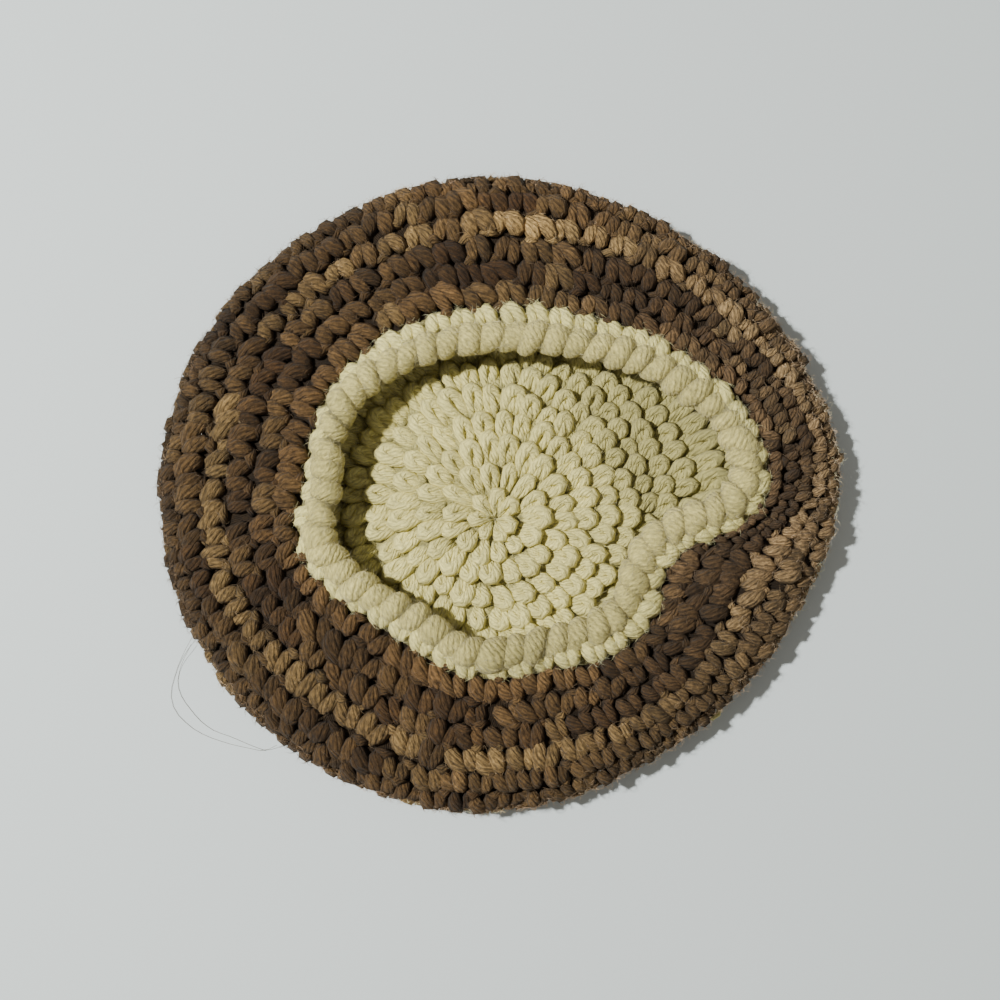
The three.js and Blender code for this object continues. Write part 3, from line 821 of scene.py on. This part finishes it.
stray_fibre = lay_strands("stray_fibre", [make_strand(hair_out, HAIR_RADIUS, HAIR_ROWS, sides=4),
                                          make_strand(hair_back, HAIR_RADIUS, HAIR_ROWS, sides=4)], [0.22, 0.19, 0.15])
cream_end = lay_strands("cream_yarn_end", [make_strand([(82.4, -92.0, 6.0), (84.6, -92.2, 7.6), (86.6, -90.6, 8.8),
                                                        (87.6, -88.2, 8.2), (87.0, -86.0, 6.0)], 0.9, LEG_ROWS)], CREAM)
BROKEN_FIBRES = [
    [(0.3, -2.0, 18.6), (1.2, -3.6, 20.8), (2.2, -2.8, 22.0)], [(-1.8, -8.6, 18.6), (-2.4, -10.2, 21.0), (-0.8, -11.4, 21.6)],
    [(2.0, -5.0, 18.6), (3.6, -6.4, 21.2), (2.6, -8.4, 21.4)], [(-3.4, -6.0, 18.6), (-5.0, -5.0, 20.8), (-6.4, -6.4, 21.0)],
    [(0.6, -3.4, 18.6), (-0.6, -1.6, 21.0), (-2.0, -2.0, 21.6)], [(-1.0, -10.0, 18.6), (-1.6, -12.6, 20.8), (-3.0, -13.0, 21.0)],
]
broken_fibres = lay_strands("broken_fibres", [make_strand(points, 0.13, FIBRE_ROWS, sides=4) for points in BROKEN_FIBRES],
                            CREAM * 1.15)
print("broken fibres:", len(BROKEN_FIBRES))

# %% [markdown]
# ## Yarn as a material
#
# One group of nodes draws plies and fibres along a strand, from the UV map that follows it: U runs
# round the strand and V along it in millimetres. Its outputs are a height for the Bump node and a
# mask of the grooves, which the materials darken as painted shade. Each yarn has its own softness
# and colours.

# %% node group for plies and fibres
def socket(tree, name, kind, direction, default=None):
    made = tree.interface.new_socket(name=name, in_out=direction, socket_type=kind)
    if default is not None:
        made.default_value = default
    return made


def link_math(tree, operation, first, second=None):
    node = tree.nodes.new("ShaderNodeMath")
    node.operation = operation
    for index, value in enumerate((first, second)):
        if value is None:
            continue
        if isinstance(value, (int, float)):
            node.inputs[index].default_value = value
        else:
            tree.links.new(value, node.inputs[index])
    return node.outputs[0]


plied = bpy.data.node_groups.new("plied_strand", "ShaderNodeTree")
socket(plied, "Strand", "NodeSocketVector", "INPUT")
socket(plied, "Chance", "NodeSocketFloat", "INPUT", 0.0)
socket(plied, "Plies", "NodeSocketFloat", "INPUT", 7.0)
socket(plied, "Twist", "NodeSocketFloat", "INPUT", 0.35)
socket(plied, "Fibres", "NodeSocketFloat", "INPUT", 0.5)
socket(plied, "Softness", "NodeSocketFloat", "INPUT", 0.8)
socket(plied, "Height", "NodeSocketFloat", "OUTPUT")
socket(plied, "Groove", "NodeSocketFloat", "OUTPUT")
socket(plied, "Streak", "NodeSocketFloat", "OUTPUT")
inside = plied.nodes.new("NodeGroupInput")
outside = plied.nodes.new("NodeGroupOutput")
split = plied.nodes.new("ShaderNodeSeparateXYZ")
plied.links.new(inside.outputs["Strand"], split.inputs[0])
turns = link_math(plied, "MULTIPLY", split.outputs["X"], inside.outputs["Plies"])
twisted = link_math(plied, "MULTIPLY", split.outputs["Y"], inside.outputs["Twist"])
wander = plied.nodes.new("ShaderNodeTexNoise")
wander.noise_dimensions = "1D"
wander.inputs["Scale"].default_value = 0.07
plied.links.new(link_math(plied, "ADD", split.outputs["Y"], link_math(plied, "MULTIPLY", inside.outputs["Chance"], 91.0)),
                wander.inputs["W"])
drift = link_math(plied, "MULTIPLY", wander.outputs["Fac"], 3.0)
phase = link_math(plied, "ADD", link_math(plied, "ADD", turns, twisted),
                  link_math(plied, "ADD", inside.outputs["Chance"], drift))
ridge = link_math(plied, "ABSOLUTE", link_math(plied, "SINE", link_math(plied, "MULTIPLY", phase, math.pi)))
combine = plied.nodes.new("ShaderNodeCombineXYZ")
plied.links.new(link_math(plied, "ADD", link_math(plied, "MULTIPLY", split.outputs["X"], 18.0),
                          link_math(plied, "MULTIPLY", twisted, 2.0)), combine.inputs["X"])
plied.links.new(link_math(plied, "MULTIPLY", split.outputs["Y"], 0.45), combine.inputs["Y"])
plied.links.new(link_math(plied, "MULTIPLY", inside.outputs["Chance"], 37.0), combine.inputs["Z"])
noise = plied.nodes.new("ShaderNodeTexNoise")
noise.inputs["Scale"].default_value = 1.6
noise.inputs["Detail"].default_value = 3.0
plied.links.new(combine.outputs[0], noise.inputs["Vector"])
rounded = link_math(plied, "POWER", ridge, inside.outputs["Softness"])
fibrous = link_math(plied, "MULTIPLY", noise.outputs["Fac"], inside.outputs["Fibres"])
plied.links.new(link_math(plied, "ADD", rounded, fibrous), outside.inputs["Height"])
grooved = link_math(plied, "SUBTRACT", 1.0, rounded)
plied.links.new(grooved, outside.inputs["Groove"])
plied.links.new(link_math(plied, "SUBTRACT", noise.outputs["Fac"], 0.5), outside.inputs["Streak"])
print("group:", plied.name, "with", len(plied.nodes), "nodes")


# %% materials of the yarns
def yarn_material(name, plies, twist, fibres, softness, groove_painted_shade, depth, mottle, roughness, sheen, fuzz,
                  streak):
    """Yarn whose colour comes from the tone painted on each stitch."""
    material = bpy.data.materials.new(name)
    material.use_nodes = True
    tree = material.node_tree
    shader = tree.nodes["Principled BSDF"]
    strand = tree.nodes.new("ShaderNodeUVMap")
    strand.uv_map = "yarn"
    chance = tree.nodes.new("ShaderNodeAttribute")
    chance.attribute_name = "chance"
    tone = tree.nodes.new("ShaderNodeAttribute")
    tone.attribute_name = "tone"
    group = tree.nodes.new("ShaderNodeGroup")
    group.node_tree = plied
    tree.links.new(strand.outputs["UV"], group.inputs["Strand"])
    tree.links.new(chance.outputs["Fac"], group.inputs["Chance"])
    for socket_name, value in (("Plies", plies), ("Twist", twist), ("Fibres", fibres), ("Softness", softness)):
        group.inputs[socket_name].default_value = value
    place = tree.nodes.new("ShaderNodeTexCoord")
    heather = tree.nodes.new("ShaderNodeTexNoise")
    heather.inputs["Scale"].default_value = 420.0
    heather.inputs["Detail"].default_value = 4.0
    heather.inputs["Roughness"].default_value = 0.7
    tree.links.new(place.outputs["Object"], heather.inputs["Vector"])
    spread = tree.nodes.new("ShaderNodeMapRange")
    spread.inputs["From Min"].default_value = 0.3
    spread.inputs["From Max"].default_value = 0.7
    spread.inputs["To Min"].default_value = 1 - mottle
    spread.inputs["To Max"].default_value = 1 + mottle
    tree.links.new(heather.outputs["Fac"], spread.inputs["Value"])
    # Painted shade: the grooves between the plies are painted darker.
    groove_shaded = link_math(tree, "SUBTRACT", 1.0, link_math(tree, "MULTIPLY", group.outputs["Groove"], groove_painted_shade))
    streaked = link_math(tree, "ADD", 1.0, link_math(tree, "MULTIPLY", group.outputs["Streak"], streak))
    shade = link_math(tree, "MULTIPLY", link_math(tree, "MULTIPLY", groove_shaded, streaked), spread.outputs["Result"])
    scale = tree.nodes.new("ShaderNodeVectorMath")
    scale.operation = "SCALE"
    tree.links.new(tone.outputs["Color"], scale.inputs[0])
    tree.links.new(shade, scale.inputs["Scale"])
    tree.links.new(scale.outputs[0], shader.inputs["Base Color"])
    bump = tree.nodes.new("ShaderNodeBump")
    bump.inputs["Strength"].default_value = 0.9
    bump.inputs["Distance"].default_value = depth * MM
    tuft = tree.nodes.new("ShaderNodeTexNoise")
    tuft.inputs["Scale"].default_value = 1500.0
    tuft.inputs["Detail"].default_value = 3.0
    tuft.inputs["Distortion"].default_value = 1.2
    tree.links.new(place.outputs["Object"], tuft.inputs["Vector"])
    soft = link_math(tree, "MULTIPLY", tuft.outputs["Fac"], fuzz)
    tree.links.new(link_math(tree, "ADD", group.outputs["Height"], soft), bump.inputs["Height"])
    tree.links.new(bump.outputs["Normal"], shader.inputs["Normal"])
    rough = tree.nodes.new("ShaderNodeMapRange")
    rough.inputs["To Min"].default_value = roughness - 0.06
    rough.inputs["To Max"].default_value = roughness + 0.06
    tree.links.new(heather.outputs["Fac"], rough.inputs["Value"])
    tree.links.new(rough.outputs["Result"], shader.inputs["Roughness"])
    shader.inputs["Sheen Weight"].default_value = sheen
    shader.inputs["Sheen Roughness"].default_value = 0.5
    shader.inputs["Specular IOR Level"].default_value = 0.25
    return material


cream_yarn = yarn_material("cream_yarn_plies", plies=6, twist=0.40, fibres=1.5, softness=0.9, groove_painted_shade=0.18,
                           depth=0.50, mottle=0.14, roughness=0.85, sheen=0.10, fuzz=1.5, streak=1.2)
band_yarn = yarn_material("cream_yarn_brushed", plies=13, twist=0.30, fibres=2.6, softness=1.1, groove_painted_shade=0.14,
                          depth=0.36, mottle=0.12, roughness=0.88, sheen=0.15, fuzz=1.2, streak=1.5)
brown_yarn = yarn_material("brown_yarn_plies", plies=8, twist=0.38, fibres=1.6, softness=0.9, groove_painted_shade=0.38,
                           depth=0.70, mottle=0.42, roughness=0.85, sheen=0.035, fuzz=1.6, streak=2.8)
loose_fibre = bpy.data.materials.new("loose_fibre")
loose_fibre.use_nodes = True
fibre_tree = loose_fibre.node_tree
fibre_shader = fibre_tree.nodes["Principled BSDF"]
fibre_tone = fibre_tree.nodes.new("ShaderNodeAttribute")
fibre_tone.attribute_name = "tone"
fibre_tree.links.new(fibre_tone.outputs["Color"], fibre_shader.inputs["Base Color"])
fibre_shader.inputs["Roughness"].default_value = 0.7
fibre_shader.inputs["Sheen Weight"].default_value = 0.1
fibre_shader.inputs["Specular IOR Level"].default_value = 0.1
print("materials:", cream_yarn.name, band_yarn.name, brown_yarn.name, loose_fibre.name)

# %% [markdown]
# ## Putting the pieces on the hat
#
# Each piece rides on the hat's one body, stands for the solid that it covers and gets the material
# of the yarn that it is made of.

# %% give each piece its material, body and solid
# piece, material, material slot, solids that it stands for
FINISH_ROWS = [
    (crown_inside, cream_yarn, "cream_yarn", ["crown"]),
    (crown_outside, cream_yarn, "cream_yarn", ["crown"]),
    (crown_fabric, cream_yarn, "cream_yarn", ["crown"]),
    (crown_fibres, loose_fibre, "cream_yarn", ["crown"]),
    (edge_stitches, brown_yarn, "brown_yarn", ["edge_rounds"]),
    (turned_stitches, brown_yarn, "brown_yarn", ["turned_rounds"]),
    (underside_stitches, brown_yarn, "brown_yarn", ["underside"]),
    (brown_fabric, brown_yarn, "brown_yarn", ["edge_rounds", "turned_rounds", "underside"]),
    (brown_fibres, loose_fibre, "brown_yarn", ["edge_rounds", "turned_rounds", "underside"]),
    (edge_fibres, loose_fibre, "brown_yarn", ["edge_rounds", "turned_rounds"]),
    (stray_fibre, loose_fibre, "brown_yarn", ["edge_rounds"]),
    (cream_end, cream_yarn, "cream_yarn", ["crown"]),
    (broken_fibres, loose_fibre, "cream_yarn", ["crown"]),
    (collar_stitches, cream_yarn, "cream_yarn", ["collar_round"]),
    (collar_fabric, cream_yarn, "cream_yarn", ["collar_round"]),
    (band_stitches, band_yarn, "cream_yarn", ["rolled_band"]),
    (band_core, band_yarn, "cream_yarn", ["rolled_band"]),
    (band_fibres, loose_fibre, "cream_yarn", ["collar_round", "rolled_band"]),
]
for piece, material, slot_name, solids in FINISH_ROWS:
    piece.data.materials.clear()
    piece.data.materials.append(material)
    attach(piece, "root")
    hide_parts(*solids)
triangles = sum(sum(len(face.vertices) - 2 for face in piece.data.polygons) for piece, *_ in FINISH_ROWS)
print("pieces:", len(FINISH_ROWS), "triangles:", triangles)

# %% [markdown]
# ## Floor, light and camera
#
# The hat lies on a pale, slightly cool surface. The light comes from the upper left, high enough for
# a narrow shadow on the right, and a pale sky fills the shadows. The camera looks nearly straight
# down.

# %% floor
bpy.ops.object.select_all(action="DESELECT")
bpy.ops.mesh.primitive_plane_add(size=6, location=(0, 0, 0))
floor = bpy.context.object
floor.name = "floor"
floor_material = bpy.data.materials.new("pale_floor")
floor_material.use_nodes = True
floor_shader = floor_material.node_tree.nodes["Principled BSDF"]
floor_shader.inputs["Base Color"].default_value = (0.63, 0.70, 0.715, 1)
floor_shader.inputs["Roughness"].default_value = 0.6
floor_shader.inputs["Specular IOR Level"].default_value = 0.2
floor.data.materials.append(floor_material)

# %% light
LIGHT_TURN = math.radians(171)
LIGHT_RISE = math.radians(56)
LIGHT_DISTANCE = 1.8
LIGHT_WATTS = 56.5
light_data = bpy.data.lights.new("key", "AREA")
light_data.shape = "DISK"
light_data.size = 0.10
light_data.energy = LIGHT_WATTS
light_data.color = (1.0, 0.985, 0.94)
light = bpy.data.objects.new("key", light_data)
bpy.context.scene.collection.objects.link(light)
light.location = (
    LIGHT_DISTANCE * math.cos(LIGHT_RISE) * math.cos(LIGHT_TURN),
    LIGHT_DISTANCE * math.cos(LIGHT_RISE) * math.sin(LIGHT_TURN),
    LIGHT_DISTANCE * math.sin(LIGHT_RISE),
)
light.rotation_euler = (QUARTER_TURN - LIGHT_RISE, 0, LIGHT_TURN + QUARTER_TURN)
world = bpy.data.worlds.new("pale_sky")
bpy.context.scene.world = world
world.use_nodes = True
sky = world.node_tree.nodes["Background"]
sky.inputs["Color"].default_value = (1.0, 0.93, 0.84, 1)
sky.inputs["Strength"].default_value = 0.29

# %% camera
CAMERA_RISE = math.radians(84)
CAMERA_DISTANCE = 0.550
AIM = (0.0005, -0.0056, 0.011)
camera_data = bpy.data.cameras.new("camera")
camera_data.sensor_width = 36
camera_data.lens = 49.5
camera_data.clip_start = 0.01
camera = bpy.data.objects.new("camera", camera_data)
bpy.context.scene.collection.objects.link(camera)
camera.location = (
    AIM[0],
    AIM[1] - CAMERA_DISTANCE * math.cos(CAMERA_RISE),
    AIM[2] + CAMERA_DISTANCE * math.sin(CAMERA_RISE),
)
camera.rotation_euler = (QUARTER_TURN - CAMERA_RISE, 0, 0)
bpy.context.scene.camera = camera
